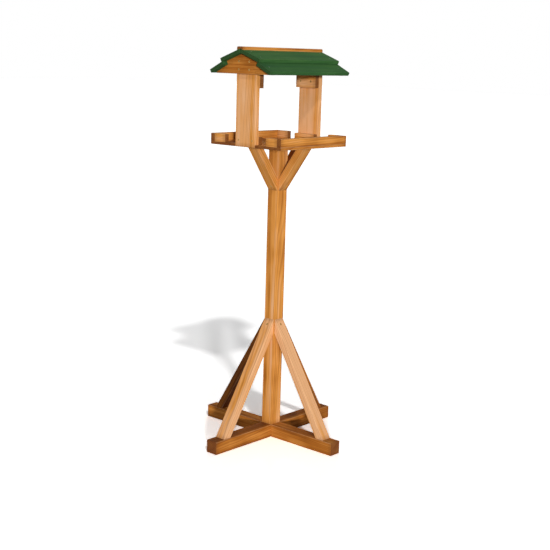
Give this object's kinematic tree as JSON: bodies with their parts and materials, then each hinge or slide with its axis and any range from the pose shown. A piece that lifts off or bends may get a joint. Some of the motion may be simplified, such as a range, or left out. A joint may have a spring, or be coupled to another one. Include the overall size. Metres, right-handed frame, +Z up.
{
  "type": "bird table",
  "caption": "Roofed bird table: an open railed tray under a lapped-board gable roof, on a tall braced post with a crossed-bar foot.",
  "frame": {"origin": "middle of the base, where the two foot bars cross, on the ground", "axes": "+Z up the post, X along the roof's ridge, front is -Y"},
  "size_m": [0.64, 0.64, 1.4603],
  "materials": {
    "brown_timber": "golden-brown preservative stain on planed softwood",
    "green_timber": "dark green preservative stain on planed softwood",
    "zinc_screws": "zinc plated",
    "zinc_nails": "galvanised"
  },
  "bodies": {
    "root": {"end_rail_left_back": "brown_timber", "end_rail_left_front": "brown_timber", "end_rail_right_back": "brown_timber", "end_rail_right_front": "brown_timber", "end_rail_screws": "zinc_screws", "foot_bar_x": "brown_timber", "foot_bar_y": "brown_timber", "foot_batten_left": "brown_timber", "foot_batten_right": "brown_timber", "foot_batten_screws": "zinc_screws", "gable_board_left": "brown_timber", "gable_board_right": "brown_timber", "gable_screws_left": "zinc_screws", "gable_screws_right": "zinc_screws", "head_batten_left": "brown_timber", "head_batten_right": "brown_timber", "head_batten_screws_left": "zinc_screws", "head_batten_screws_right": "zinc_screws", "lower_brace_back": "brown_timber", "lower_brace_foot_screws": "zinc_screws", "lower_brace_front": "brown_timber", "lower_brace_left": "brown_timber", "lower_brace_post_screws": "zinc_screws", "lower_brace_right": "brown_timber", "lower_roof_nails_back": "zinc_nails", "lower_roof_nails_front": "zinc_nails", "post": "brown_timber", "post_base_screws": "zinc_screws", "post_top_screws": "zinc_screws", "rail_screws": "zinc_screws", "ridge_cap": "brown_timber", "ridge_cap_nails": "zinc_nails", "roof_board_lower_back": "green_timber", "roof_board_lower_front": "green_timber", "roof_board_upper_back": "green_timber", "roof_board_upper_front": "green_timber", "tray_floor": "brown_timber", "tray_rail_back": "brown_timber", "tray_rail_front": "brown_timber", "upper_brace_back": "brown_timber", "upper_brace_floor_screws": "zinc_screws", "upper_brace_front": "brown_timber", "upper_brace_left": "brown_timber", "upper_brace_post_screws": "zinc_screws", "upper_brace_right": "brown_timber", "upper_roof_nails_back": "zinc_nails", "upper_roof_nails_front": "zinc_nails", "upright_left": "brown_timber", "upright_right": "brown_timber", "upright_screws_left": "zinc_screws", "upright_screws_right": "zinc_screws"}
  },
  "joints": []
}
